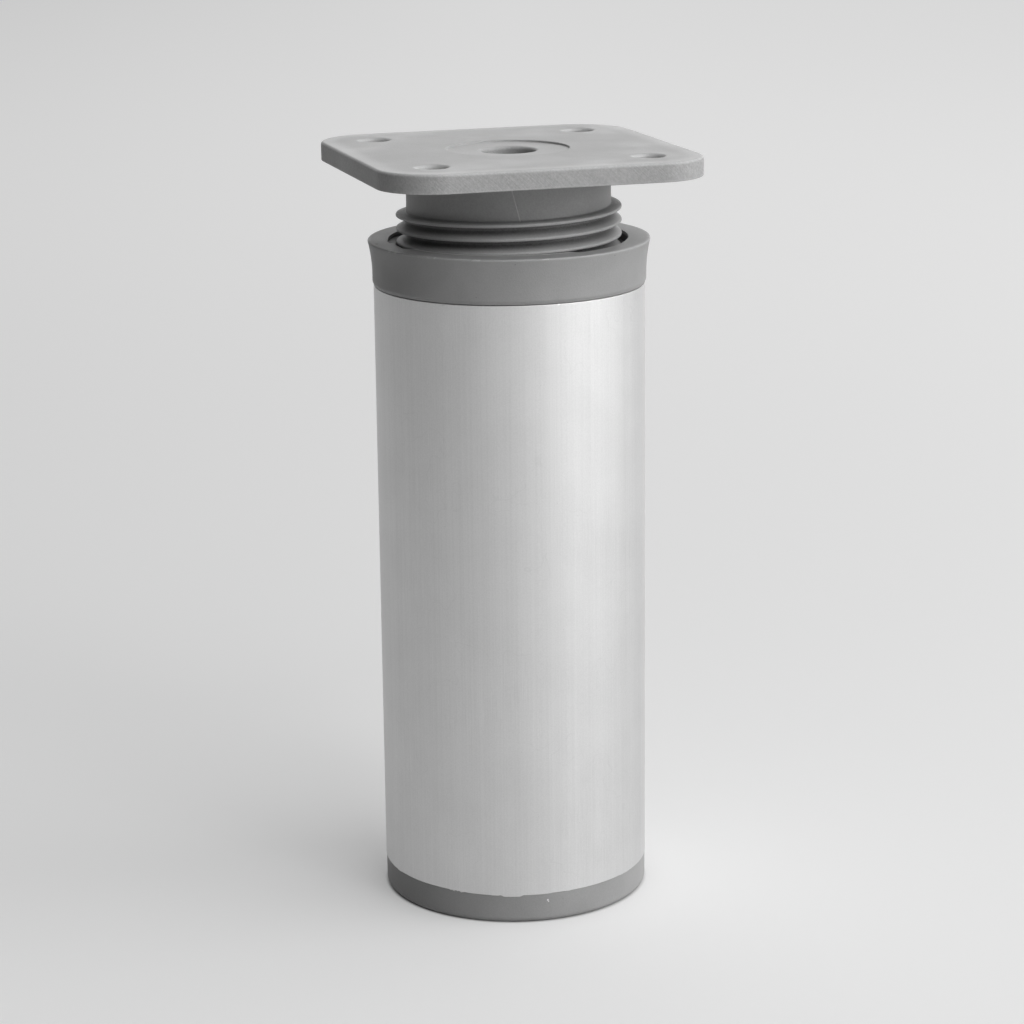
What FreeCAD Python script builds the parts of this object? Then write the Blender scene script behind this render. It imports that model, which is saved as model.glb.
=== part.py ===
import FreeCAD, Part
import os
from FreeCAD import Vector

# Adjustable cabinet leg: a plate with a threaded neck screws into the collar of a tube on a foot.
# Millimetres. The origin is the centre of the foot's underside, +Z is up, and the plate's
# edges run along X and Y.

# Tube
TUBE_OUTER_D = 50.0
TUBE_WALL = 1.2
TUBE_LENGTH = 110.8

# Foot
FOOT_BAND_HEIGHT = 5.5
FOOT_EDGE_BREAK = 0.6
FOOT_FLOOR = 3.0
FOOT_SPIGOT_LENGTH = 11.0
FOOT_SPIGOT_WALL = 2.2
FOOT_CLEARANCE = 0.1

# Collar
COLLAR_HEIGHT = 8.35
COLLAR_BAND_HEIGHT = 1.9
COLLAR_OVERHANG = 0.2
COLLAR_FLARE = 0.8
COLLAR_EDGE_BREAK = 0.3
COLLAR_SPIGOT_LENGTH = 6.0
COLLAR_SPIGOT_WALL = 2.65
COLLAR_CLEARANCE = 0.05
COLLAR_THREAD_TURNS = 2.8

# Neck
NECK_WALL = 2.6
NECK_LENGTH = 19.0
NECK_PLAIN_LENGTH = 6.3
NECK_END_LAND = 1.5
REST_EXTENSION = 12.85

# Thread: a right-handed ridge with straight flanks and a blunt tip, and its shallower mate in the
# collar. Both ridges are sunk a little into the wall that they stand on.
THREAD_PITCH = 2.5
THREAD_DEPTH = 1.95
THREAD_FLOOR_WIDTH = 0.5
THREAD_TIP_HEIGHT = 0.8
THREAD_TIP_WIDTH = 1.2
THREAD_CREST_CLEARANCE = 0.4
THREAD_ROOT_CLEARANCE = 1.2
THREAD_SINK = 0.25
THREAD_START_DROP = 0.65
THREAD_START_ANGLE = -72.0

# Mounting plate
PLATE_SIDE = 60.0
PLATE_CORNER_R = 10.5
PLATE_THICKNESS = 3.5
PLATE_EDGE_BREAK = 0.7
SCREW_EDGE_DISTANCE = 10.0
SCREW_HOLE_D = 5.5
CENTRE_HOLE_D = 10.0
HOLE_EDGE_BREAK = 0.4
RECESS_D = 22.4
RECESS_DEPTH = 0.4

# Heights and radii that follow from the sizes
tube_r = TUBE_OUTER_D / 2
tube_bore_r = tube_r - TUBE_WALL
tube_bottom = FOOT_BAND_HEIGHT
tube_top = tube_bottom + TUBE_LENGTH
collar_top = tube_top + COLLAR_HEIGHT
collar_bottom = tube_top - COLLAR_SPIGOT_LENGTH
collar_spigot_r = tube_bore_r - COLLAR_CLEARANCE
collar_bore_r = collar_spigot_r - COLLAR_SPIGOT_WALL
crest_r = collar_bore_r - THREAD_CREST_CLEARANCE
neck_r = crest_r - THREAD_DEPTH
collar_lip_r = neck_r + THREAD_ROOT_CLEARANCE
plate_under = collar_top + REST_EXTENSION
plate_top = plate_under + PLATE_THICKNESS
neck_bottom = plate_under - NECK_LENGTH
half_pitch = THREAD_PITCH / 2


def vec(r, z):
    return Vector(r, 0, z)


def revolve(points):
    """A solid of revolution about the leg's axis, from an outline of (radius, height) points."""
    wire = Part.makePolygon([vec(r, z) for r, z in points + points[:1]])
    return Part.Face(wire).revolve(Vector(0, 0, 0), Vector(0, 0, 1), 360)


def cylinder(radius, low, high):
    return Part.makeCylinder(radius, high - low, Vector(0, 0, low))


def thread_height(angle):
    """Height of the middle of the collar's ridge at an angle in degrees."""
    return collar_top - THREAD_START_DROP + THREAD_PITCH * (angle - THREAD_START_ANGLE) / 360


def thread_angle(height):
    """Angle in degrees at which the middle of the collar's ridge reaches a height."""
    return THREAD_START_ANGLE + 360 * (height - thread_height(THREAD_START_ANGLE)) / THREAD_PITCH


def neck_flank(radius):
    """Half the width of the neck's ridge at a radius, along its straight flank."""
    root = half_pitch - THREAD_FLOOR_WIDTH / 2
    slope = (THREAD_TIP_WIDTH / 2 - root) / (THREAD_DEPTH - THREAD_TIP_HEIGHT)
    return root + slope * (radius - neck_r)


def ridge(section, low_angle, high_angle, shift):
    """A helical ridge with a section of (radius, half width) points from its root to its tip."""
    upper = [vec(r, w) for r, w in section]
    lower = [vec(r, -w) for r, w in reversed(section) if w > 0]
    outline = Part.makePolygon(upper + lower + upper[:1])
    rise = THREAD_PITCH * (high_angle - low_angle) / 360
    helix = Part.makeHelix(THREAD_PITCH, rise, section[0][0])
    solid = Part.Wire(helix.Edges).makePipeShell([outline], True, True)
    if solid.Volume < 0:
        solid.reverse()
    solid.rotate(Vector(0, 0, 0), Vector(0, 0, 1), low_angle)
    solid.translate(Vector(0, 0, thread_height(low_angle) + shift))
    return solid


def make_tube():
    return revolve([
        (tube_bore_r, tube_bottom),
        (tube_r, tube_bottom),
        (tube_r, tube_top),
        (tube_bore_r, tube_top),
    ])


def make_foot():
    spigot_r = tube_bore_r - FOOT_CLEARANCE
    spigot_top = tube_bottom + FOOT_SPIGOT_LENGTH
    hollow_r = spigot_r - FOOT_SPIGOT_WALL
    return revolve([
        (0, 0),
        (tube_r - FOOT_EDGE_BREAK, 0),
        (tube_r, FOOT_EDGE_BREAK),
        (tube_r, tube_bottom),
        (spigot_r, tube_bottom),
        (spigot_r, spigot_top),
        (hollow_r, spigot_top),
        (hollow_r, FOOT_FLOOR),
        (0, FOOT_FLOOR),
    ])


def make_collar():
    waist_r = tube_r + COLLAR_OVERHANG
    waist = tube_top + COLLAR_BAND_HEIGHT
    rim = collar_top - COLLAR_EDGE_BREAK
    # The wall leaves the straight band gently and flares more and more up to the rim.
    flare = [(waist_r + COLLAR_FLARE * k ** 2, waist + (rim - waist) * k) for k in (0, 0.5, 1)]
    ring = revolve([
        (collar_bore_r, collar_top),
        (collar_bore_r, collar_bottom),
        (collar_spigot_r, collar_bottom),
        (collar_spigot_r, tube_top),
        (waist_r, tube_top),
        *flare,
        (waist_r + COLLAR_FLARE - COLLAR_EDGE_BREAK, collar_top),
    ])
    root_r = collar_bore_r + THREAD_SINK
    section = [(root_r, half_pitch - THREAD_FLOOR_WIDTH / 2), (collar_lip_r, 0)]
    last_angle = THREAD_START_ANGLE - 360 * COLLAR_THREAD_TURNS
    thread = ridge(section, last_angle, THREAD_START_ANGLE, 0)
    above = cylinder(collar_spigot_r, collar_top, collar_top + THREAD_PITCH)
    return ring.fuse(thread.cut(above))


def make_plate_blank():
    half = PLATE_SIDE / 2
    block = Part.makeBox(PLATE_SIDE, PLATE_SIDE, PLATE_THICKNESS, Vector(-half, -half, plate_under))
    upright = [e for e in block.Edges if abs(e.tangentAt(e.FirstParameter).z) > 0.5]
    block = block.makeFillet(PLATE_CORNER_R, upright)
    top_rim = [e for e in block.Edges if all(abs(v.Z - plate_top) < 1e-6 for v in e.Vertexes)]
    return block.makeChamfer(PLATE_EDGE_BREAK, top_rim)


def hole(diameter, top):
    """A cutter for a hole through the plate whose upper edge is broken."""
    r = diameter / 2
    rim_r = r + HOLE_EDGE_BREAK
    return revolve([
        (0, plate_under),
        (r, plate_under),
        (r, top - HOLE_EDGE_BREAK),
        (rim_r, top),
        (rim_r, top + PLATE_THICKNESS),
        (0, top + PLATE_THICKNESS),
    ])


def make_mounting_plate():
    neck_bore_r = neck_r - NECK_WALL
    recess_floor = plate_top - RECESS_DEPTH
    plate = make_plate_blank()
    plate = plate.cut(cylinder(RECESS_D / 2, recess_floor, plate_top))
    plate = plate.cut(hole(CENTRE_HOLE_D, recess_floor))
    reach = PLATE_SIDE / 2 - SCREW_EDGE_DISTANCE
    for x in (-reach, reach):
        for y in (-reach, reach):
            screw_hole = hole(SCREW_HOLE_D, plate_top)
            screw_hole.translate(Vector(x, y, 0))
            plate = plate.cut(screw_hole)
    neck = cylinder(neck_r, neck_bottom, plate_under).cut(cylinder(neck_bore_r, neck_bottom, plate_under))
    root_r = neck_r - THREAD_SINK
    shoulder_r = crest_r - THREAD_TIP_HEIGHT
    section = [
        (root_r, neck_flank(root_r)),
        (shoulder_r, neck_flank(shoulder_r)),
        (crest_r, 0),
    ]
    low_angle = thread_angle(neck_bottom + NECK_END_LAND + neck_flank(neck_r) - half_pitch)
    high_angle = thread_angle(plate_under - NECK_PLAIN_LENGTH - half_pitch)
    thread = ridge(section, low_angle, high_angle, half_pitch)
    return plate.fuse(neck.fuse(thread))


os.makedirs("parts", exist_ok=True)
pieces = {
    "foot": make_foot(),
    "tube": make_tube(),
    "collar": make_collar(),
    "mounting_plate": make_mounting_plate(),
}
for name, shape in pieces.items():
    print(name, len(shape.Solids), shape.isValid(), round(shape.Volume, 1))
    shape.exportStep("parts/" + name + ".step")
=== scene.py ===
"""Adjustable cabinet leg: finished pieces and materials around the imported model, on a pale studio sweep."""
import math

import bmesh
import bpy
from mathutils import Matrix, Vector


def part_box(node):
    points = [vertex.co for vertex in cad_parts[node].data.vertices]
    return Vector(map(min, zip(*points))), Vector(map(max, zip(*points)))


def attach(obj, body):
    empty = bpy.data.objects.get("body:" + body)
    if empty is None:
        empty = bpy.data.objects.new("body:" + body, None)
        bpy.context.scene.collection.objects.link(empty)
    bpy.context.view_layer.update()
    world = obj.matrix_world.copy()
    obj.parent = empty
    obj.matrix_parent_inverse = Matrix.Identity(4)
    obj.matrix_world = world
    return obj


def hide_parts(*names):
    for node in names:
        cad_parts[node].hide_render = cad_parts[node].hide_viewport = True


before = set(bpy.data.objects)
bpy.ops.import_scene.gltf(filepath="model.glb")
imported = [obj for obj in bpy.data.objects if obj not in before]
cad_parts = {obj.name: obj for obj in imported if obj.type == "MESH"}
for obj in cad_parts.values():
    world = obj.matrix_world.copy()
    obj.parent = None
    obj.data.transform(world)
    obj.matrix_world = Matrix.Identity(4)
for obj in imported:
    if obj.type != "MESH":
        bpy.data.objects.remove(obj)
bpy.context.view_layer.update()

MM = 0.001
FULL_TURN = 2 * math.pi

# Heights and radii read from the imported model
tube_low, tube_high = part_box("tube")
collar_low, collar_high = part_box("collar")
plate_low, plate_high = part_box("mounting_plate")
_, foot_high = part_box("foot")
tube_r = tube_high.x
tube_bottom = tube_low.z
tube_top = tube_high.z
collar_bottom = collar_low.z
collar_top = collar_high.z
rim_r = collar_high.x
neck_bottom = plate_low.z
plate_top = plate_high.z
plate_half = plate_high.x
foot_top = foot_high.z

# Tube
TUBE_WALL = 1.2 * MM
TUBE_EDGE_ROUNDING = 0.12 * MM
TUBE_STEPS = 720
TUBE_BURR_WIDTH = 0.065 * MM
TUBE_MARK_STEEPNESS = 3
# Marks on the cut ends: the middle and half the width in degrees, and the depth in millimetres
TUBE_BURRS = [
    (-136.2, 0.5, 0.15), (-134.7, 0.6, 0.21), (-133.0, 0.5, 0.17), (-131.4, 0.6, 0.26), (-130.3, 0.4, 0.14),
    (-122.5, 8.0, 0.14), (-116.0, 2.4, 0.22), (-108.8, 5.2, 0.38), (-98.0, 7.0, 0.11), (-84.0, 1.2, 0.08),
    (-52.0, 4.0, 0.08), (-18.0, 0.8, 0.15), (9.0, 6.0, 0.09), (38.0, 1.0, 0.18), (41.0, 0.7, 0.12),
    (77.0, 9.0, 0.12), (121.0, 0.9, 0.17), (148.0, 5.0, 0.09), (-169.0, 2.0, 0.11),
]
TUBE_NICKS = [
    (-135.2, 0.5, 0.20), (-86.6, 0.4, 0.18), (-31.0, 0.4, 0.15), (64.0, 0.5, 0.20), (137.0, 0.4, 0.15),
]

# Foot
FOOT_INSET = 0.10 * MM
FOOT_FLOOR = 3.0 * MM
FOOT_ROUNDING = 0.7 * MM
FOOT_EDGE_ROUNDING = 1.0 * MM
FOOT_TOP_ROUNDING = 0.1 * MM
FOOT_SPIGOT_GAP = 0.1 * MM
FOOT_SPIGOT_WALL = 2.2 * MM

# Collar
COLLAR_WAIST_R = tube_r + 0.2 * MM
COLLAR_BAND = 1.9 * MM
COLLAR_SPIGOT_R = tube_r - TUBE_WALL - 0.05 * MM
COLLAR_BORE_R = 21.1 * MM
COLLAR_RIM_ROUNDING = 0.35 * MM
COLLAR_FOOT_ROUNDING = 0.12 * MM
COLLAR_FOOT_BREAK = 0.75 * MM
COLLAR_FOOT_GAP = 0.13 * MM
COLLAR_FOOT_R = tube_r - 0.05 * MM
COLLAR_TOP_R = 23.2 * MM
MOUTH_SLOPE = 0.2 * MM
# How the collar's mouth is relieved around the thread's run-out: angles in degrees, sizes in millimetres
MOUTH_WIDENING = [
    (-180, 1.4), (-164, 1.4), (-159, 0), (-76, 0), (-74, 1.3), (-48, 1.2), (-30, 0.8), (0, 0.8),
    (140, 0.9), (168, 1.1), (172, 1.4), (181, 1.4),
]
MOUTH_DEPTH = [
    (-180, 0.3), (-160, 0.3), (-150, 2.2), (-56, 2.2), (-51, 0.7), (-33, 0.7), (-29, 2.2),
    (168, 2.2), (172, 0.3), (181, 0.3),
]
FLARE_STEPS = 8

# Plate
PLATE_THICKNESS = 3.5 * MM
PLATE_CORNER_R = 10.5 * MM
PLATE_TOP_ROUNDING = 0.6 * MM
PLATE_UNDER_ROUNDING = 0.15 * MM
HOLE_OFFSET = 20.0 * MM
HOLE_R = 2.75 * MM
HOLE_ROUNDING = 0.7 * MM
HOLE_UNDER_ROUNDING = 0.1 * MM
CENTRE_HOLE_R = 5.0 * MM
RECESS_R = 11.2 * MM
RECESS_DEPTH = 0.4 * MM
RECESS_ROUNDING = 0.19 * MM
plate_under = plate_top - PLATE_THICKNESS

# Neck and thread
NECK_R = 18.75 * MM
NECK_BORE_R = 16.15 * MM
NECK_CEILING_ROUNDING = 0.8 * MM
PITCH = 2.5 * MM
HALF_PITCH = PITCH / 2
THREAD_START_ANGLE = math.radians(-72)
THREAD_START_DROP = 0.65 * MM
NECK_CREST_R = 20.7 * MM
# Sections of the ridges: the height from a ridge's middle in millimetres, and the share of its depth
NECK_RIM = [(-0.72, 0.0), (-0.60, 0.88), (-0.50, 0.97), (-0.36, 1.0), (-0.18, 0.99), (0.0, 0.93)]
NECK_SLOPE = [(0.22, 0.70), (0.50, 0.42), (0.82, 0.17), (1.15, 0.0)]
NECK_LIP = [(0.07, 0.70), (0.13, 0.42), (0.20, 0.17), (0.27, 0.0)]
NECK_THINNING = math.radians(50)
NECK_THREAD_LOW = neck_bottom + 2.5 * MM
NECK_THREAD_HIGH = plate_under - 6.3 * MM
NECK_THREAD_RAMP = math.radians(14)
COLLAR_LIP_R = 19.95 * MM
COLLAR_RIDGE = [(-0.80, 0.0), (-0.22, 0.88), (0.0, 1.0), (0.22, 0.88), (0.80, 0.0)]
COLLAR_THREAD_TURNS = 2.8
COLLAR_THREAD_RAMP = math.radians(4)

# Fineness of the meshes
TURN_STEPS = 192
HOLE_STEPS = 48
ROUND_STEPS = 5
CORNER_STEPS = 14
THREAD_ROWS = 34
SMOOTH_ANGLE = math.radians(35)
MERGE_DISTANCE = 1e-7
LEVEL_TOLERANCE = 1e-6
LEVEL_NORMAL = 0.999

# Camera, fitted to the photograph's perspective
VIEW_TURN = math.radians(17)
CAMERA_DISTANCE = 534.2 * MM
CAMERA_HEIGHT = 209.9 * MM
CAMERA_PITCH = math.radians(14.43)
CAMERA_ROLL = math.radians(-0.64)
CAMERA_LENS = 103.16
SENSOR_WIDTH = 36.0

# Finishes, in tones where 1 is white
PLATE_TONE = 0.43
COLLAR_TONE = 0.38
FOOT_TONE = 0.395
ALUMINIUM_TONE = 0.67

# Sizes of the patterns in the finishes
PLATE_GRAIN = 0.30 * MM
COLLAR_GRAIN = 0.22 * MM
FOOT_GRAIN = 0.26 * MM
CLOUD_PER_GRAIN = 30
PLASTIC_PATCH = 14 * MM
PLASTIC_SPECK = 0.16 * MM
PEBBLE_GRAIN = 0.45 * MM
PEBBLE_CLOUD = 4 * MM
CHIP_GRAIN = 0.5 * MM
CHIP_CLOUD = 2.2 * MM
HATCH_WIDTH = 0.28 * MM
HATCH_LENGTH = 6 * MM
HATCH_TURN = (0, math.radians(48), 0)
LINE_WIDTH = 0.30 * MM
LINE_LENGTH = 60 * MM
DASH_WIDTH = 0.14 * MM
DASH_LENGTH = 6 * MM
ALUMINIUM_PATCH = 22 * MM
ALUMINIUM_SPECK = 0.10 * MM
ALUMINIUM_GRAIN = 0.25 * MM
ALUMINIUM_CLOUD = 9 * MM

# The part of a pattern's values that its mask rises or falls through
NOISE_SPAN = (0.3, 0.7)
RUBBED_SPAN = (0.48, 0.68)
CHIP_SPAN = (0.80, 0.95)
SPECK_SPAN = (0.05, 0.09)
SPECK_CHOICE = (0.86, 0.88)
SPECK_PER_CELL = 0.1
HAIR_LEVEL = 0.55
HAIR_SPAN = (0.0008, 0.0022)
BAND_SCALE = 0.11

# Changes of tone by patterns, marks and painted light and shade, as shares of the piece's tone
GRAIN_CHANGE = 0.08
CLOUD_CHANGE = 0.07
RUBBED_LIGHT = 0.02
SPECK_SHADE = -0.35
HAIR_LIGHT = 0.03
HATCH_CHANGE = 0.08
PEBBLE_CHANGE = 0.13
# Painted shade on the neck under the plate
NECK_PAINTED_SHADE = -0.24
SEAM_LIGHT = 0.30
# Painted shade in the thread's grooves, and a painted highlight on its rims
GROOVE_PAINTED_SHADE = -0.42
THREAD_RIM_PAINTED_HIGHLIGHT = 0.34
# Painted shade on the plate's top face and a painted highlight along its edges
TOP_FACE_PAINTED_SHADE = -0.10
TOP_EDGE_PAINTED_HIGHLIGHT = 0.27
LOWER_EDGE_LIGHT = 0.10
# Painted light on the screw holes' walls
HOLE_WALL_PAINTED_LIGHT = 0.35
# Painted highlight on the collar's rounded top edge
COLLAR_RIM_PAINTED_HIGHLIGHT = 0.24
COLLAR_FLASH_LIGHT = 0.35
COLLAR_SPECK_SHADE = -0.7
# Painted shade in the collar's bore, and painted light on the lip where its thread runs out
COLLAR_BORE_PAINTED_SHADE = -0.65
COLLAR_LIP_PAINTED_LIGHT = 0.70
FOOT_FLECK_LIGHT = 1.3
LINE_CHANGE = 0.032
BAND_CHANGE = 0.022
DASH_CHANGE = 0.05
ALUMINIUM_GRAIN_CHANGE = 0.05
ALUMINIUM_CLOUD_CHANGE = 0.03
ALUMINIUM_SPECK_SHADE = -0.15
ALUMINIUM_HAIR_SHADE = -0.03

# Roughness, and the depth of relief
PLASTIC_ROUGHNESS = 0.48
GRAIN_ROUGHNESS = 0.10
RUBBED_SMOOTHNESS = 0.08
ALUMINIUM_ROUGHNESS = 0.50
BAND_ROUGHNESS = 0.02
ALUMINIUM_RUBBED_SMOOTHNESS = 0.03
GRAIN_RELIEF = 0.012 * MM
HATCH_RELIEF = 0.012 * MM
HATCH_OFF_SIDES = 0.25
SEAM_RELIEF = 0.05 * MM
FLASH_RELIEF = 0.05 * MM
LINE_RELIEF = 0.0008 * MM

# The seam down the neck: a point on it, its slant, its lower end, and half its width in radians
SEAM_ANGLE = math.radians(-105.07)
SEAM_HEIGHT = 135.56 * MM
SEAM_SLANT = math.radians(4.42) / (5.54 * MM)
SEAM_END = 129.7 * MM
SEAM_SPAN = (0.0035, 0.008)

# Single marks: radius, angle in degrees, height and size
COLLAR_SPECK = (24.97 * MM, 178.9, collar_top, 0.35 * MM)
FOOT_FLECKS = [
    (tube_r - FOOT_INSET, -93.4, 4.2 * MM, 0.22 * MM),
    (tube_r - FOOT_INSET, -93.1, 3.9 * MM, 0.16 * MM),
]
MARK_CORE = 0.6

# Paper floor and room, in tones where 1 is white
PAPER_HALF_SIZE = 6.0
PAPER_TONE = 0.58
PAPER_GLOW_NEAR = 0.29
PAPER_GLOW_FAR = 0.62
PAPER_LIT_REACH = 1.2
PAPER_BOUNCE = 0.50
PAPER_LEAN = 0.20
PAPER_EVEN_FROM_TO = (0.15, 0.5)
PAPER_EVEN_GLOW = 0.58
PAPER_EVEN_TONE = 0.08
LAMPS_NEAR = 0.6
LAMPS_RIGHT = 0.8
ROOM_DIM = 0.03
ROOM_BACK = 1.30
ROOM_BACK_FOCUS = 5
ROOM_LEFT = 0.10
ROOM_RIGHT = 0.80

# Softboxes: place to the right, near and up in the picture's directions, width and height, and watts
SOFTBOXES = {
    "overhead softbox": (0.4, -0.1, 1.3, 1.2, 1.2, 7.2),
    "front softbox": (0.5, 0.85, 0.95, 0.7, 0.7, 4.0),
    "right softbox": (1.0, 0.38, 0.56, 1.5, 1.0, 9.0),
}

# The picture's own directions in the model's frame
picture_right = Vector((math.cos(VIEW_TURN), -math.sin(VIEW_TURN), 0))
picture_near = Vector((-math.sin(VIEW_TURN), -math.cos(VIEW_TURN), 0))


def clamp(share):
    """Holds a share between 0 and 1."""
    return min(1.0, max(0.0, share))


def mesh_of(bm, name):
    """Makes a mesh of a bmesh and frees the bmesh."""
    mesh = bpy.data.meshes.new(name)
    bm.to_mesh(mesh)
    bm.free()
    return mesh


def add_object(name, data):
    """A new object in the scene, at the origin."""
    made = bpy.data.objects.new(name, data)
    bpy.context.scene.collection.objects.link(made)
    return made


def round_off(bm, geom, affect, rounding, segments=ROUND_STEPS):
    """Rounds corners or edges off."""
    bmesh.ops.bevel(
        bm, geom=geom, affect=affect, offset=rounding, offset_type="OFFSET",
        segments=segments, profile=0.5, material=-1,
    )


def chain(bm, corners):
    """A run of edges in the XZ plane through corners of (radius, height, rounding)."""
    verts = [bm.verts.new((r, 0, z)) for r, z, _ in corners]
    for pair in zip(verts, verts[1:]):
        bm.edges.new(pair)
    for vert, (_, _, rounding) in zip(verts, corners):
        if rounding:
            round_off(bm, [vert], "VERTICES", rounding)


def pour(piece, skin):
    """Adds a finished skin to a piece's mesh."""
    mesh = mesh_of(skin, "skin")
    piece.from_mesh(mesh)
    bpy.data.meshes.remove(mesh)


def turn(piece, corners, steps=TURN_STEPS, place=(0, 0)):
    """Turns a run of corners about an upright axis at a place and adds the skin to a piece."""
    skin = bmesh.new()
    chain(skin, corners)
    bmesh.ops.spin(
        skin, geom=skin.verts[:] + skin.edges[:], cent=(0, 0, 0), axis=(0, 0, 1), dvec=(0, 0, 0),
        angle=FULL_TURN, steps=steps, use_merge=True, use_normal_flip=False, use_duplicate=False,
    )
    bmesh.ops.translate(skin, verts=skin.verts[:], vec=(*place, 0))
    pour(piece, skin)


def thread_angle(height, shift):
    """Angle along a ridge, counted through its turns, at which its middle reaches a height."""
    start = collar_top - THREAD_START_DROP + shift
    return THREAD_START_ANGLE + FULL_TURN * (height - start) / PITCH


def between(place, corners):
    """The value at a place along straight lines through corners of (place, value), and 0 beyond them."""
    for (low, low_value), (high, high_value) in zip(corners, corners[1:]):
        if low <= place < high:
            return low_value + (high_value - low_value) * (place - low) / (high - low)
    return 0.0


def neck_section(thinness):
    """A level underside, a rounded rim and a long slope above it, which is short on the top turn."""
    slope = [(a + (b - a) * thinness, share) for (a, share), (b, _) in zip(NECK_SLOPE, NECK_LIP)]
    return NECK_RIM + slope


def ramp(angle, low, high, width):
    """Rises from 0 to 1 and falls again within a width of both ends of a ridge."""
    share = clamp(min(angle - low, high - angle) / width)
    return share * share * (3 - 2 * share)


def threaded_wall(piece, wall_r, tip_r, low, high, shift, section, first, last, width):
    """A round wall whose radius depends on height and angle, with a helical ridge up to another radius."""
    wall = bmesh.new()
    # A turn to spare below and above is cut off in the end.
    turns = math.ceil((high - low) / PITCH) + 2
    start = low - PITCH
    column = [wall.verts.new((tip_r, 0, start + PITCH * k / THREAD_ROWS)) for k in range(THREAD_ROWS + 1)]
    edges = [wall.edges.new(pair) for pair in zip(column, column[1:])]
    bmesh.ops.spin(
        wall, geom=column + edges, cent=(0, 0, 0), axis=(0, 0, 1), dvec=(0, 0, PITCH / TURN_STEPS),
        angle=FULL_TURN, steps=TURN_STEPS,
    )
    first_turn = wall.verts[:] + wall.edges[:] + wall.faces[:]
    for turns_up in range(1, turns):
        copy = bmesh.ops.duplicate(wall, geom=first_turn)["geom"]
        copied_verts = [part for part in copy if isinstance(part, bmesh.types.BMVert)]
        bmesh.ops.translate(wall, verts=copied_verts, vec=(0, 0, PITCH * turns_up))
    bmesh.ops.remove_doubles(wall, verts=wall.verts[:], dist=PITCH / THREAD_ROWS / 8)
    for vert in wall.verts:
        angle = math.atan2(vert.co.y, vert.co.x)
        turns_up = (thread_angle(vert.co.z, shift) - angle) / FULL_TURN
        offset = (turns_up - round(turns_up)) * PITCH
        along = angle + FULL_TURN * round(turns_up)
        share = between(offset / MM, section(along)) * ramp(along, first, last, width)
        base_r = wall_r(vert.co.z, angle)
        vert.co.xy *= (base_r + (tip_r - base_r) * share) / vert.co.xy.length
    for height, side in ((low, -1), (high, 1)):
        bmesh.ops.bisect_plane(
            wall, geom=wall.verts[:] + wall.edges[:] + wall.faces[:], dist=MERGE_DISTANCE,
            plane_co=(0, 0, height), plane_no=(0, 0, side), clear_outer=True,
        )
    pour(piece, wall)


def lies_at(edge, height):
    """Whether an edge lies level at a height."""
    return all(abs(vert.co.z - height) < LEVEL_TOLERANCE for vert in edge.verts)


def open_edges_at(bm, height):
    """The edges of the holes that a skin leaves at a height."""
    return [edge for edge in bm.edges if edge.is_boundary and lies_at(edge, height)]


def close_at(bm, height):
    """Closes the flat face at a height, around any holes in it."""
    bmesh.ops.triangle_fill(bm, use_beauty=True, edges=open_edges_at(bm, height), normal=(0, 0, 1))


def finish_piece(bm, name, body, node, material):
    """Makes a piece from its mesh, with smooth faces and crisp edges, in place of a node."""
    bmesh.ops.remove_doubles(bm, verts=bm.verts[:], dist=MERGE_DISTANCE)
    bmesh.ops.recalc_face_normals(bm, faces=bm.faces[:])
    for face in bm.faces:
        face.smooth = True
    mesh = mesh_of(bm, name)
    mesh.set_sharp_from_angle(angle=SMOOTH_ANGLE)
    mesh.materials.append(material)
    piece = add_object(name, mesh)
    weighted = piece.modifiers.new("flat faces stay flat", "WEIGHTED_NORMAL")
    weighted.keep_sharp = True
    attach(piece, body)
    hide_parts(node)


def make_plate_blank(bm):
    """The square plate's rounded sides, open above and below."""
    blank = bmesh.new()
    bmesh.ops.create_cube(blank, size=1)
    bmesh.ops.scale(blank, verts=blank.verts[:], vec=(2 * plate_half, 2 * plate_half, PLATE_THICKNESS))
    bmesh.ops.translate(blank, verts=blank.verts[:], vec=(0, 0, plate_under + PLATE_THICKNESS / 2))
    upright = [e for e in blank.edges if abs(e.verts[0].co.z - e.verts[1].co.z) > PLATE_THICKNESS / 2]
    round_off(blank, upright, "EDGES", PLATE_CORNER_R, CORNER_STEPS)
    for height, rounding in ((plate_top, PLATE_TOP_ROUNDING), (plate_under, PLATE_UNDER_ROUNDING)):
        round_off(blank, [edge for edge in blank.edges if lies_at(edge, height)], "EDGES", rounding)
    flats = [face for face in blank.faces if abs(face.normal.z) > LEVEL_NORMAL]
    bmesh.ops.delete(blank, geom=flats, context="FACES_ONLY")
    pour(bm, blank)


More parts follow.
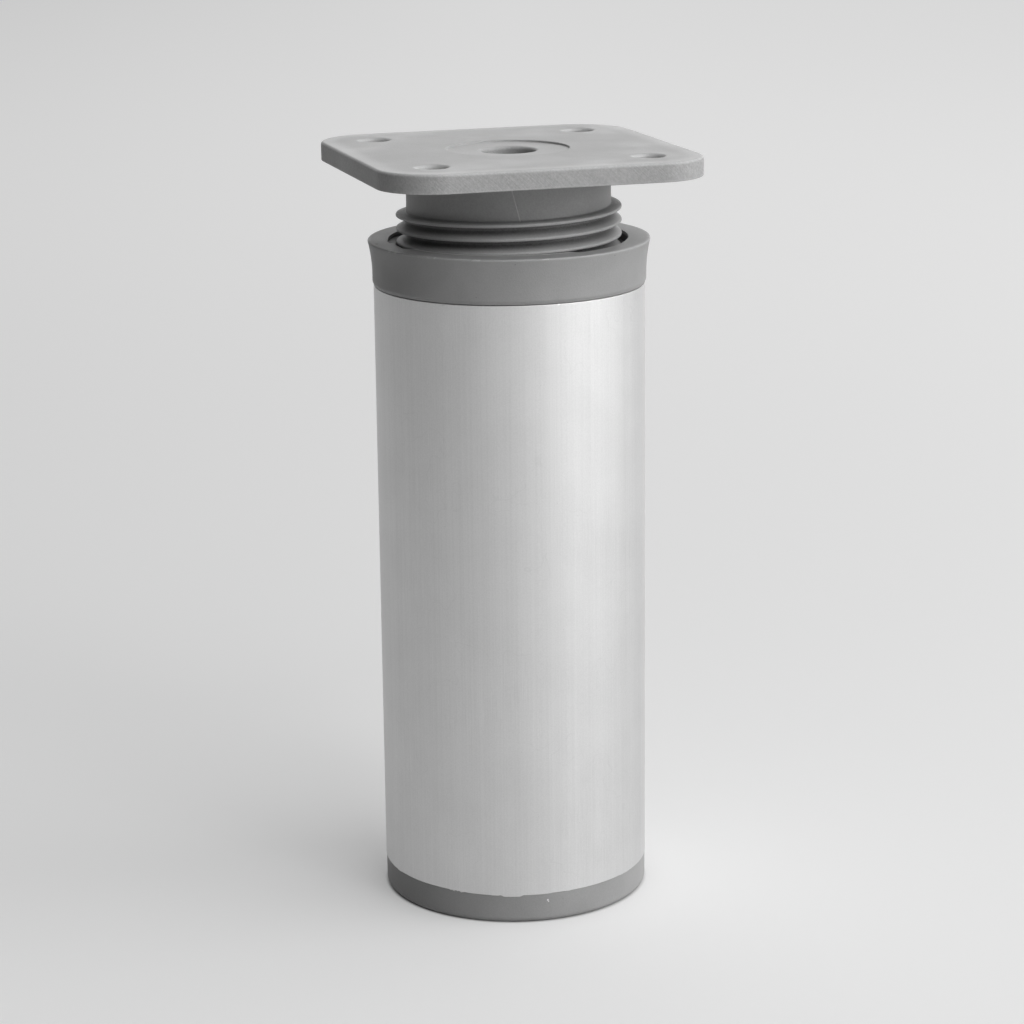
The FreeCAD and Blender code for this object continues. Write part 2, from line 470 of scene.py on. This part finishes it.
def make_mounting_plate(material):
    bm = bmesh.new()
    make_plate_blank(bm)
    for x in (-HOLE_OFFSET, HOLE_OFFSET):
        for y in (-HOLE_OFFSET, HOLE_OFFSET):
            turn(bm, [
                (HOLE_R + 2 * HOLE_ROUNDING, plate_top, 0),
                (HOLE_R, plate_top, HOLE_ROUNDING),
                (HOLE_R, plate_under, HOLE_UNDER_ROUNDING),
                (HOLE_R + 2 * HOLE_UNDER_ROUNDING, plate_under, 0),
            ], HOLE_STEPS, (x, y))
    recess_floor = plate_top - RECESS_DEPTH
    turn(bm, [
        (RECESS_R + 2 * RECESS_ROUNDING, plate_top, 0),
        (RECESS_R, plate_top, RECESS_ROUNDING),
        (RECESS_R, recess_floor, RECESS_ROUNDING),
        (CENTRE_HOLE_R, recess_floor, HOLE_ROUNDING),
        (CENTRE_HOLE_R, plate_under, HOLE_UNDER_ROUNDING),
        (NECK_BORE_R, plate_under, NECK_CEILING_ROUNDING),
        (NECK_BORE_R, neck_bottom, 0),
    ])
    first = thread_angle(NECK_THREAD_LOW, HALF_PITCH)
    last = thread_angle(NECK_THREAD_HIGH, HALF_PITCH)

    def section(along):
        before_top_turn = last - FULL_TURN - along
        return neck_section(clamp(0.5 - before_top_turn / NECK_THINNING))

    threaded_wall(
        bm, lambda height, angle: NECK_R, NECK_CREST_R, neck_bottom, plate_under, HALF_PITCH, section,
        first, last, NECK_THREAD_RAMP,
    )
    for height in (plate_top, plate_under, neck_bottom):
        close_at(bm, height)
    finish_piece(bm, "plate_moulding", "plate", "mounting_plate", material)


def mouth_radius(height, angle):
    """The collar's bore, which opens at its mouth except where the thread runs out in a lip."""
    degrees = math.degrees(angle)
    share = 1 - (collar_top - height - between(degrees, MOUTH_DEPTH) * MM) / MOUTH_SLOPE
    return COLLAR_BORE_R + between(degrees, MOUTH_WIDENING) * MM * clamp(share)


def make_collar(material):
    bm = bmesh.new()
    waist = tube_top + COLLAR_BAND
    flare = rim_r - COLLAR_WAIST_R
    shares = [k / FLARE_STEPS for k in range(FLARE_STEPS)]
    turn(bm, [
        (COLLAR_TOP_R, collar_top, 0),
        (rim_r, collar_top, COLLAR_RIM_ROUNDING),
        *[(COLLAR_WAIST_R + flare * k ** 2, waist + (collar_top - waist) * k, 0) for k in reversed(shares)],
        (COLLAR_WAIST_R, tube_top + COLLAR_FOOT_BREAK, COLLAR_FOOT_ROUNDING),
        (COLLAR_FOOT_R, tube_top + COLLAR_FOOT_GAP, 0),
        (COLLAR_SPIGOT_R, tube_top + COLLAR_FOOT_GAP, 0),
        (COLLAR_SPIGOT_R, collar_bottom, COLLAR_RIM_ROUNDING),
        (COLLAR_BORE_R + COLLAR_RIM_ROUNDING, collar_bottom, 0),
    ])
    last = THREAD_START_ANGLE
    threaded_wall(
        bm, mouth_radius, COLLAR_LIP_R, collar_bottom, collar_top, 0, lambda along: COLLAR_RIDGE,
        last - FULL_TURN * COLLAR_THREAD_TURNS, last, COLLAR_THREAD_RAMP,
    )
    for height in (collar_top, collar_bottom):
        close_at(bm, height)
    finish_piece(bm, "collar_ring", "leg", "collar", material)


def edge_drop(angle, marks):
    """How far marks of (middle, half width, depth) lower an edge at an angle."""
    drop = 0.0
    for middle, half_width, depth in marks:
        off = abs((angle - math.radians(middle) + math.pi) % FULL_TURN - math.pi)
        share = min(1.0, TUBE_MARK_STEEPNESS * (1 - off / math.radians(half_width)))
        drop = max(drop, depth * MM * share)
    return drop


def make_tube(material):
    bm = bmesh.new()
    bore_r = tube_r - TUBE_WALL
    turn(bm, [
        (bore_r, tube_bottom, 0),
        (tube_r, tube_bottom, TUBE_EDGE_ROUNDING),
        (tube_r, tube_top, TUBE_EDGE_ROUNDING),
        (bore_r, tube_top, 0),
        (bore_r, tube_bottom, 0),
    ], TUBE_STEPS)
    # The saw has left a burr on the lower end's outer edge and a few nicks in the upper one.
    for vert in bm.verts:
        if vert.co.xy.length > tube_r - TUBE_BURR_WIDTH:
            angle = math.atan2(vert.co.y, vert.co.x)
            if vert.co.z < tube_bottom + 2 * TUBE_EDGE_ROUNDING:
                vert.co.z -= edge_drop(angle, TUBE_BURRS)
            elif vert.co.z > tube_top - 2 * TUBE_EDGE_ROUNDING:
                vert.co.z -= edge_drop(angle, TUBE_NICKS)
    finish_piece(bm, "tube_shell", "leg", "tube", material)


def make_foot(material):
    bm = bmesh.new()
    band_r = tube_r - FOOT_INSET
    spigot_r = tube_r - TUBE_WALL - FOOT_SPIGOT_GAP
    hollow_r = spigot_r - FOOT_SPIGOT_WALL
    turn(bm, [
        (0, 0, 0),
        (band_r, 0, FOOT_EDGE_ROUNDING),
        (band_r, tube_bottom, FOOT_TOP_ROUNDING),
        (spigot_r, tube_bottom, 0),
        (spigot_r, foot_top, FOOT_ROUNDING),
        (hollow_r, foot_top, 0),
        (hollow_r, FOOT_FLOOR, FOOT_ROUNDING),
        (0, FOOT_FLOOR, 0),
    ])
    finish_piece(bm, "foot_cap", "foot", "foot", material)


def math_step(tree, operation, first, second=0.0):
    """One sum in a node tree. Either side is a socket or a number."""
    step = tree.nodes.new("ShaderNodeMath")
    step.operation = operation
    for socket, value in zip(step.inputs, (first, second)):
        if isinstance(value, bpy.types.NodeSocket):
            tree.links.new(value, socket)
        else:
            socket.default_value = value
    return step.outputs[0]


def spread(tree, value, low, high, to_low=0.0, to_high=1.0):
    """Maps a value from one range to another and holds it there, with soft ends."""
    step = tree.nodes.new("ShaderNodeMapRange")
    step.interpolation_type = "SMOOTHSTEP"
    for label, number in (("From Min", low), ("From Max", high), ("To Min", to_low), ("To Max", to_high)):
        step.inputs[label].default_value = number
    tree.links.new(value, step.inputs["Value"])
    return step.outputs["Result"]


def fade(tree, value, low, high, left=0.0):
    """Falls softly from 1 to what is left as a value rises through a range."""
    return spread(tree, value, low, high, 1, left)


def times(tree, first, *others):
    """The product of masks or numbers."""
    for other in others:
        first = math_step(tree, "MULTIPLY", first, other)
    return first


def swing(tree, mask):
    """A mask around 0, which lightens as much as it darkens."""
    return math_step(tree, "SUBTRACT", mask, 0.5)


def noise(tree, position, scale, detail):
    """A cloud of values around a half."""
    step = tree.nodes.new("ShaderNodeTexNoise")
    step.inputs["Detail"].default_value = detail
    tree.links.new(position, step.inputs["Vector"])
    if isinstance(scale, bpy.types.NodeSocket):
        tree.links.new(scale, step.inputs["Scale"])
    else:
        step.inputs["Scale"].default_value = scale
    return step.outputs["Fac"]


def new_group(name, sizes, results):
    """A node group that takes a position and sizes in metres and gives values, with its two ends."""
    group = bpy.data.node_groups.new(name, "ShaderNodeTree")
    group.interface.new_socket("Position", in_out="INPUT", socket_type="NodeSocketVector")
    for label in sizes:
        group.interface.new_socket(label, in_out="INPUT", socket_type="NodeSocketFloat")
    for label in results:
        group.interface.new_socket(label, in_out="OUTPUT", socket_type="NodeSocketFloat")
    return group, group.nodes.new("NodeGroupInput").outputs, group.nodes.new("NodeGroupOutput").inputs


def make_moulded_grain():
    """The fine pebbling of a moulded skin, and the slow clouds of its tone."""
    group, given, result = new_group("moulded grain", ["Grain", "Cloud"], ["Grain", "Cloud"])
    fine = noise(group, given["Position"], math_step(group, "DIVIDE", 1, given["Grain"]), 2)
    slow = noise(group, given["Position"], math_step(group, "DIVIDE", 1, given["Cloud"]), 3)
    group.links.new(spread(group, fine, *NOISE_SPAN), result["Grain"])
    group.links.new(spread(group, slow, *NOISE_SPAN), result["Cloud"])
    return group


def make_drawn_lines():
    """Fine lines along Z, and the broader bands that they gather into."""
    group, given, result = new_group("drawn lines", ["Width", "Length"], ["Lines", "Bands"])
    sizes = group.nodes.new("ShaderNodeCombineXYZ")
    for axis, label in (("X", "Width"), ("Y", "Width"), ("Z", "Length")):
        group.links.new(given[label], sizes.inputs[axis])
    stretched = group.nodes.new("ShaderNodeVectorMath")
    stretched.operation = "DIVIDE"
    group.links.new(given["Position"], stretched.inputs[0])
    group.links.new(sizes.outputs[0], stretched.inputs[1])
    for label, scale, detail in (("Lines", 1.0, 2), ("Bands", BAND_SCALE, 3)):
        cloud = noise(group, stretched.outputs[0], scale, detail)
        group.links.new(spread(group, cloud, *NOISE_SPAN), result[label])
    return group


def make_handling_marks():
    """Patches rubbed smoother by handling, sparse specks, and hair scratches inside the patches."""
    group, given, result = new_group("handling marks", ["Patch", "Speck"], ["Rubbed", "Specks", "Hairs"])
    patches = noise(group, given["Position"], math_step(group, "DIVIDE", 1, given["Patch"]), 3)
    group.links.new(spread(group, patches, *RUBBED_SPAN), result["Rubbed"])
    cells = group.nodes.new("ShaderNodeTexVoronoi")
    group.links.new(given["Position"], cells.inputs["Vector"])
    group.links.new(math_step(group, "DIVIDE", SPECK_PER_CELL, given["Speck"]), cells.inputs["Scale"])
    chosen = group.nodes.new("ShaderNodeSeparateColor")
    group.links.new(cells.outputs["Color"], chosen.inputs["Color"])
    near = fade(group, cells.outputs["Distance"], *SPECK_SPAN)
    few = spread(group, chosen.outputs["Red"], *SPECK_CHOICE)
    group.links.new(times(group, near, few), result["Specks"])
    contour = math_step(group, "ABSOLUTE", math_step(group, "SUBTRACT", patches, HAIR_LEVEL))
    group.links.new(fade(group, contour, *HAIR_SPAN), result["Hairs"])
    return group


def principled(name):
    """A new material, its shader and its object coordinates."""
    material = bpy.data.materials.new(name)
    material.use_nodes = True
    tree = material.node_tree
    position = tree.nodes.new("ShaderNodeTexCoord").outputs["Object"]
    return material, tree, tree.nodes["Principled BSDF"], position


def place_group(tree, group, position, **sizes):
    """A shared group in a material, with the material's own sizes."""
    made = tree.nodes.new("ShaderNodeGroup")
    made.node_tree = group
    tree.links.new(position, made.inputs["Position"])
    for label, size in sizes.items():
        made.inputs[label.title()].default_value = size
    return made.outputs


def turned(tree, position, rotation):
    """The position turned, so that lines along Z run another way."""
    step = tree.nodes.new("ShaderNodeMapping")
    step.inputs["Rotation"].default_value = rotation
    tree.links.new(position, step.inputs["Vector"])
    return step.outputs["Vector"]


def length_of(tree, first, second):
    """Length of a line with two parts at right angles."""
    squares = [math_step(tree, "POWER", part, 2) for part in (first, second)]
    return math_step(tree, "SQRT", math_step(tree, "ADD", *squares))


def parts_of(tree, position):
    """The X, Y and Z of a position."""
    split = tree.nodes.new("ShaderNodeSeparateXYZ")
    tree.links.new(position, split.inputs[0])
    return split.outputs


def add_grey(tree, tone, *changes):
    """A grey that changes add to or take from: pairs of a mask and its full share of the tone."""
    total = tone
    for mask, share in changes:
        total = math_step(tree, "ADD", times(tree, mask, tone * share), total)
    return total


def bump(tree, shader, height, distance):
    """Raises the surface by a height of 0 to 1 times a distance in metres."""
    step = tree.nodes.new("ShaderNodeBump")
    step.inputs["Distance"].default_value = distance
    tree.links.new(height, step.inputs["Height"])
    if shader.inputs["Normal"].is_linked:
        tree.links.new(shader.inputs["Normal"].links[0].from_socket, step.inputs["Normal"])
    tree.links.new(step.outputs["Normal"], shader.inputs["Normal"])


def plastic_skin(tree, shader, position, tone, grain, *changes):
    """Grained plastic with clouds, specks and rubbed patches, and a piece's own changes of tone."""
    skin = place_group(tree, moulded_grain, position, grain=grain, cloud=CLOUD_PER_GRAIN * grain)
    marks = place_group(tree, handling_marks, position, patch=PLASTIC_PATCH, speck=PLASTIC_SPECK)
    grey = add_grey(
        tree, tone, (swing(tree, skin["Grain"]), GRAIN_CHANGE), (swing(tree, skin["Cloud"]), CLOUD_CHANGE),
        (marks["Rubbed"], RUBBED_LIGHT), (marks["Specks"], SPECK_SHADE), (marks["Hairs"], HAIR_LIGHT),
        *changes,
    )
    tree.links.new(grey, shader.inputs["Base Color"])
    rough = math_step(tree, "ADD", times(tree, skin["Grain"], GRAIN_ROUGHNESS), PLASTIC_ROUGHNESS)
    rough = math_step(tree, "SUBTRACT", rough, times(tree, marks["Rubbed"], RUBBED_SMOOTHNESS))
    tree.links.new(rough, shader.inputs["Roughness"])
    bump(tree, shader, skin["Grain"], GRAIN_RELIEF)


def make_plate_plastic():
    material, tree, shader, position = principled("plate plastic")
    x, y, height = parts_of(tree, position)
    radius = length_of(tree, x, y)
    angle = math_step(tree, "ARCTAN2", y, x)
    across, along = [math_step(tree, "ABSOLUTE", side) for side in (x, y)]
    # The neck under the plate's underside takes painted shade.
    below = fade(tree, height, plate_under - 0.1 * MM, plate_under)
    slant = times(tree, math_step(tree, "SUBTRACT", height, SEAM_HEIGHT), SEAM_SLANT)
    seam_angle = math_step(tree, "ADD", math_step(tree, "SUBTRACT", angle, SEAM_ANGLE), slant)
    seam_line = fade(tree, math_step(tree, "ABSOLUTE", seam_angle), *SEAM_SPAN)
    on_neck = fade(tree, radius, NECK_R + 0.1 * MM, NECK_R + 0.3 * MM)
    above_end = spread(tree, height, SEAM_END, SEAM_END + 0.2 * MM)
    seam = times(tree, seam_line, below, on_neck, above_end)
    # Painted shade darkens the thread's grooves and a painted highlight its rims. The top turn ends the
    # grooves.
    top_turn = thread_angle(NECK_THREAD_HIGH, HALF_PITCH)
    turns_down = math_step(tree, "DIVIDE", math_step(tree, "SUBTRACT", top_turn, angle), FULL_TURN)
    drop = times(tree, math_step(tree, "FRACT", turns_down), PITCH)
    above_turn = math_step(tree, "ADD", math_step(tree, "SUBTRACT", height, NECK_THREAD_HIGH), drop)
    groove_painted_shade = times(
        tree, fade(tree, radius, NECK_R + 0.1 * MM, NECK_CREST_R - 0.4 * MM),
        fade(tree, above_turn, 0.0, 0.6 * MM),
    )
    rim_painted_highlight = times(tree, spread(tree, radius, NECK_R + 0.6 * MM, NECK_CREST_R), below)
    # The plate's sides are hatched and pebbled in full, and its faces only a little.
    corner = plate_half - PLATE_CORNER_R
    beyond = [
        math_step(tree, "MAXIMUM", math_step(tree, "SUBTRACT", side, corner), 0) for side in (across, along)
    ]
    reach = math_step(tree, "SUBTRACT", PLATE_CORNER_R, length_of(tree, *beyond))
    on_sides = fade(tree, reach, 0.2 * MM, 0.8 * MM, HATCH_OFF_SIDES)
    hatch = place_group(
        tree, drawn_lines, turned(tree, position, HATCH_TURN), width=HATCH_WIDTH, length=HATCH_LENGTH,
    )
    hatched = times(tree, swing(tree, hatch["Lines"]), on_sides)
    coarse = place_group(tree, moulded_grain, position, grain=PEBBLE_GRAIN, cloud=PEBBLE_CLOUD)
    pebbled = times(tree, swing(tree, coarse["Grain"]), on_sides)
    # The plate's top face takes painted shade, with a painted highlight along its edges, and the foot
    # of its sides is lighter. The screw holes' walls take painted light.
    top_face = spread(tree, height, plate_top - 0.5 * MM, plate_top - 0.2 * MM)
    top_edge_painted_highlight = times(tree, fade(tree, reach, 0.9 * MM, 4.2 * MM), top_face)
    low_edge = fade(tree, height, plate_under + 0.15 * MM, plate_under + 0.5 * MM)
    lower_edge = times(tree, math_step(tree, "SUBTRACT", low_edge, below), on_sides)
    off_hole = [math_step(tree, "SUBTRACT", side, HOLE_OFFSET) for side in (across, along)]
    hole_wall_painted_light = fade(tree, length_of(tree, *off_hole), HOLE_R + 0.1 * MM, HOLE_R + 0.6 * MM)
    plastic_skin(
        tree, shader, position, PLATE_TONE, PLATE_GRAIN, (hatched, HATCH_CHANGE), (pebbled, PEBBLE_CHANGE),
        (below, NECK_PAINTED_SHADE), (seam, SEAM_LIGHT), (groove_painted_shade, GROOVE_PAINTED_SHADE), (rim_painted_highlight, THREAD_RIM_PAINTED_HIGHLIGHT),
        (top_face, TOP_FACE_PAINTED_SHADE), (top_edge_painted_highlight, TOP_EDGE_PAINTED_HIGHLIGHT), (lower_edge, LOWER_EDGE_LIGHT),
        (hole_wall_painted_light, HOLE_WALL_PAINTED_LIGHT),
    )
    bump(tree, shader, hatched, HATCH_RELIEF)
    bump(tree, shader, seam, SEAM_RELIEF)
    return material


def spot(tree, position, radius, degrees, height, size):
    """A small mark on a piece, around a place at a radius, an angle and a height about the leg's axis."""
    angle = math.radians(degrees)
    reach = tree.nodes.new("ShaderNodeVectorMath")
    reach.operation = "DISTANCE"
    reach.inputs[1].default_value = (radius * math.cos(angle), radius * math.sin(angle), height)
    tree.links.new(position, reach.inputs[0])
    return fade(tree, reach.outputs["Value"], MARK_CORE * size, size)


def make_collar_plastic():
    material, tree, shader, position = principled("collar plastic")
    x, y, height = parts_of(tree, position)
    radius = length_of(tree, x, y)
    # A painted highlight lightens the collar's rounded top edge, where the mould flash also sits.
    rim = times(
        tree, spread(tree, radius, rim_r - 0.9 * MM, rim_r - 0.3 * MM),
        spread(tree, height, collar_top - 0.5 * MM, collar_top - 0.1 * MM),
    )
    chips = place_group(tree, moulded_grain, position, grain=CHIP_GRAIN, cloud=CHIP_CLOUD)
    flash = times(tree, rim, spread(tree, chips["Cloud"], *CHIP_SPAN))
    speck = spot(tree, position, *COLLAR_SPECK)
    # The threaded bore takes painted shade below its mouth, and the lip where the thread runs out painted
    # light.
    bore_painted_shade = times(
        tree, fade(tree, radius, COLLAR_BORE_R + 1.5 * MM, COLLAR_BORE_R + 1.7 * MM),
        fade(tree, height, collar_top - 0.8 * MM, collar_top - 0.3 * MM),
    )
    lip = times(
        tree, fade(tree, radius, COLLAR_BORE_R + 0.3 * MM, COLLAR_BORE_R + 0.8 * MM),
        spread(tree, height, collar_top - 0.1 * MM, collar_top - 0.02 * MM),
    )
    plastic_skin(
        tree, shader, position, COLLAR_TONE, COLLAR_GRAIN, (rim, COLLAR_RIM_PAINTED_HIGHLIGHT),
        (flash, COLLAR_FLASH_LIGHT), (speck, COLLAR_SPECK_SHADE), (bore_painted_shade, COLLAR_BORE_PAINTED_SHADE),
        (lip, COLLAR_LIP_PAINTED_LIGHT),
    )
    bump(tree, shader, flash, FLASH_RELIEF)
    return material


def make_foot_plastic():
    material, tree, shader, position = principled("foot plastic")
    flecks = math_step(tree, "MAXIMUM", *[spot(tree, position, *fleck) for fleck in FOOT_FLECKS])
    plastic_skin(tree, shader, position, FOOT_TONE, FOOT_GRAIN, (flecks, FOOT_FLECK_LIGHT))
    return material


def make_aluminium():
    material, tree, shader, position = principled("satin aluminium")
    shader.inputs["Metallic"].default_value = 1.0
    lines = place_group(tree, drawn_lines, position, width=LINE_WIDTH, length=LINE_LENGTH)
    short = place_group(tree, drawn_lines, position, width=DASH_WIDTH, length=DASH_LENGTH)
    marks = place_group(tree, handling_marks, position, patch=ALUMINIUM_PATCH, speck=ALUMINIUM_SPECK)
    grain = place_group(tree, moulded_grain, position, grain=ALUMINIUM_GRAIN, cloud=ALUMINIUM_CLOUD)
    fine, bands, pebbles, clouds = [
        swing(tree, mask) for mask in (lines["Lines"], lines["Bands"], grain["Grain"], grain["Cloud"])
    ]
    dashes = times(tree, swing(tree, short["Lines"]), marks["Rubbed"])
    grey = add_grey(
        tree, ALUMINIUM_TONE, (fine, LINE_CHANGE), (bands, BAND_CHANGE), (dashes, DASH_CHANGE),
        (pebbles, ALUMINIUM_GRAIN_CHANGE), (clouds, ALUMINIUM_CLOUD_CHANGE),
        (marks["Specks"], ALUMINIUM_SPECK_SHADE), (marks["Hairs"], ALUMINIUM_HAIR_SHADE),
    )
    tree.links.new(grey, shader.inputs["Base Color"])
    rough = math_step(tree, "ADD", times(tree, bands, BAND_ROUGHNESS), ALUMINIUM_ROUGHNESS)
    rough = math_step(tree, "SUBTRACT", rough, times(tree, marks["Rubbed"], ALUMINIUM_RUBBED_SMOOTHNESS))
    tree.links.new(rough, shader.inputs["Roughness"])
    bump(tree, shader, lines["Lines"], LINE_RELIEF)
    return material


def seen_directly(tree):
    """1 for rays from the camera or by way of gloss or glass, 0 for light that only bounces."""
    rays = tree.nodes.new("ShaderNodeLightPath").outputs
    gloss_or_glass = math_step(tree, "MAXIMUM", rays["Is Glossy Ray"], rays["Is Transmission Ray"])
    return math_step(tree, "MAXIMUM", rays["Is Camera Ray"], gloss_or_glass)


def component(tree, vector, direction):
    """How far a vector reaches along a direction."""
    product = tree.nodes.new("ShaderNodeVectorMath")
    product.operation = "DOT_PRODUCT"
    product.inputs[1].default_value = direction
    tree.links.new(vector, product.inputs[0])
    return product.outputs["Value"]


def mix(tree, share, first, second):
    """Goes from a first value to a second one as a share rises from 0 to 1."""
    rest = math_step(tree, "SUBTRACT", 1, share)
    return math_step(tree, "ADD", times(tree, rest, first), times(tree, share, second))


def make_paper():
    """Pale paper that glows a little where it is looked at, more so far from the lamps."""
    material = bpy.data.materials.new("pale paper")
    material.use_nodes = True
    tree = material.node_tree
    tree.nodes.remove(tree.nodes["Principled BSDF"])
    seen = seen_directly(tree)
    camera = tree.nodes.new("ShaderNodeLightPath").outputs["Is Camera Ray"]
    place = tree.nodes.new("ShaderNodeTexCoord").outputs["Object"]
    length = tree.nodes.new("ShaderNodeVectorMath")
    length.operation = "LENGTH"
    tree.links.new(place, length.inputs[0])
    reach = length.outputs["Value"]
    farness = math_step(tree, "POWER", math_step(tree, "DIVIDE", reach, PAPER_LIT_REACH), 2)
    lit = math_step(tree, "POWER", math_step(tree, "ADD", farness, 1), -2)
    lean = component(tree, place, picture_right * PAPER_LEAN)
    lean = math_step(tree, "MINIMUM", math_step(tree, "MAXIMUM", lean, -PAPER_LEAN), 0)
    fill = math_step(tree, "ADD", mix(tree, lit, PAPER_GLOW_FAR, PAPER_GLOW_NEAR), lean)
    # Painted shade: the glow stops where the camera looks under the foot's rounded edge.
    painted_contact_shade = fade(tree, reach, tube_r - 0.7 * MM, tube_r + 0.4 * MM)
    fill = mix(tree, times(tree, painted_contact_shade, camera), fill, 0)
    # Under the lamps, which only views from behind take in, the paper is evened out.
    to_lamps = picture_near * LAMPS_NEAR + picture_right * LAMPS_RIGHT
    under_lamps = spread(tree, component(tree, place, to_lamps), *PAPER_EVEN_FROM_TO)
    even = times(tree, under_lamps, camera)
    fill = mix(tree, even, fill, PAPER_EVEN_GLOW)
    tone = mix(tree, even, mix(tree, seen, PAPER_BOUNCE, PAPER_TONE), PAPER_EVEN_TONE)
    diffuse = tree.nodes.new("ShaderNodeBsdfDiffuse")
    tree.links.new(tone, diffuse.inputs["Color"])
    glow = tree.nodes.new("ShaderNodeEmission")
    tree.links.new(times(tree, fill, seen), glow.inputs["Strength"])
    both = tree.nodes.new("ShaderNodeAddShader")
    tree.links.new(diffuse.outputs[0], both.inputs[0])
    tree.links.new(glow.outputs[0], both.inputs[1])
    tree.links.new(both.outputs[0], tree.nodes["Material Output"].inputs["Surface"])
    return material


def make_floor():
    bm = bmesh.new()
    bmesh.ops.create_grid(bm, x_segments=1, y_segments=1, size=PAPER_HALF_SIZE)
    mesh = mesh_of(bm, "floor")
    mesh.materials.append(make_paper())
    floor = add_object("floor", mesh)


def place_camera():
    data = bpy.data.cameras.new("camera")
    data.sensor_width = SENSOR_WIDTH
    data.lens = CAMERA_LENS
    camera = add_object("camera", data)
    ahead = -picture_near * math.cos(CAMERA_PITCH) - Vector((0, 0, math.sin(CAMERA_PITCH)))
    above = picture_right.cross(ahead)
    right = picture_right * math.cos(CAMERA_ROLL) + above * math.sin(CAMERA_ROLL)
    above = right.cross(ahead)
    axes = Matrix((right, above, -ahead)).transposed()
    place = picture_near * CAMERA_DISTANCE + Vector((0, 0, CAMERA_HEIGHT))
    camera.matrix_world = Matrix.LocRotScale(place, axes, None)
    bpy.context.scene.camera = camera


def add_softbox(name, right, near, up, width, height, power):
    """A lamp with a flat face, at a place in the picture's directions, aimed at the leg's middle."""
    data = bpy.data.lights.new(name, "AREA")
    data.shape = "RECTANGLE"
    data.size = width
    data.size_y = height
    data.energy = power
    lamp = add_object(name, data)
    lamp.visible_camera = False
    lamp.location = picture_right * right + picture_near * near + Vector((0, 0, up))
    aim = Vector((0, 0, plate_top / 2)) - lamp.location
    lamp.rotation_euler = aim.to_track_quat("-Z", "Y").to_euler()


def make_world():
    """A room, dim to light that only bounces and pale where it is seen. The camera misses its bright back."""
    world = bpy.data.worlds.new("studio")
    world.use_nodes = True
    tree = world.node_tree
    direction = tree.nodes.new("ShaderNodeTexCoord").outputs["Generated"]
    to_right = component(tree, direction, picture_right)
    pale = times(tree, to_right, (ROOM_RIGHT - ROOM_LEFT) / 2)
    pale = math_step(tree, "ADD", pale, (ROOM_RIGHT + ROOM_LEFT) / 2 - ROOM_DIM)
    tone = math_step(tree, "ADD", times(tree, pale, seen_directly(tree)), ROOM_DIM)
    back = math_step(tree, "MAXIMUM", component(tree, direction, -picture_near), 0)
    back = math_step(tree, "POWER", back, ROOM_BACK_FOCUS)
    camera = tree.nodes.new("ShaderNodeLightPath").outputs["Is Camera Ray"]
    back = times(tree, back, ROOM_BACK, math_step(tree, "SUBTRACT", 1, camera))
    tree.links.new(math_step(tree, "ADD", tone, back), tree.nodes["Background"].inputs["Color"])
    bpy.context.scene.world = world


def light_studio():
    for name, measures in SOFTBOXES.items():
        add_softbox(name, *measures)
    make_world()
    bpy.context.scene.view_settings.view_transform = "Standard"


moulded_grain = make_moulded_grain()
drawn_lines = make_drawn_lines()
handling_marks = make_handling_marks()
make_mounting_plate(make_plate_plastic())
make_collar(make_collar_plastic())
make_tube(make_aluminium())
make_foot(make_foot_plastic())
make_floor()
place_camera()
light_studio()
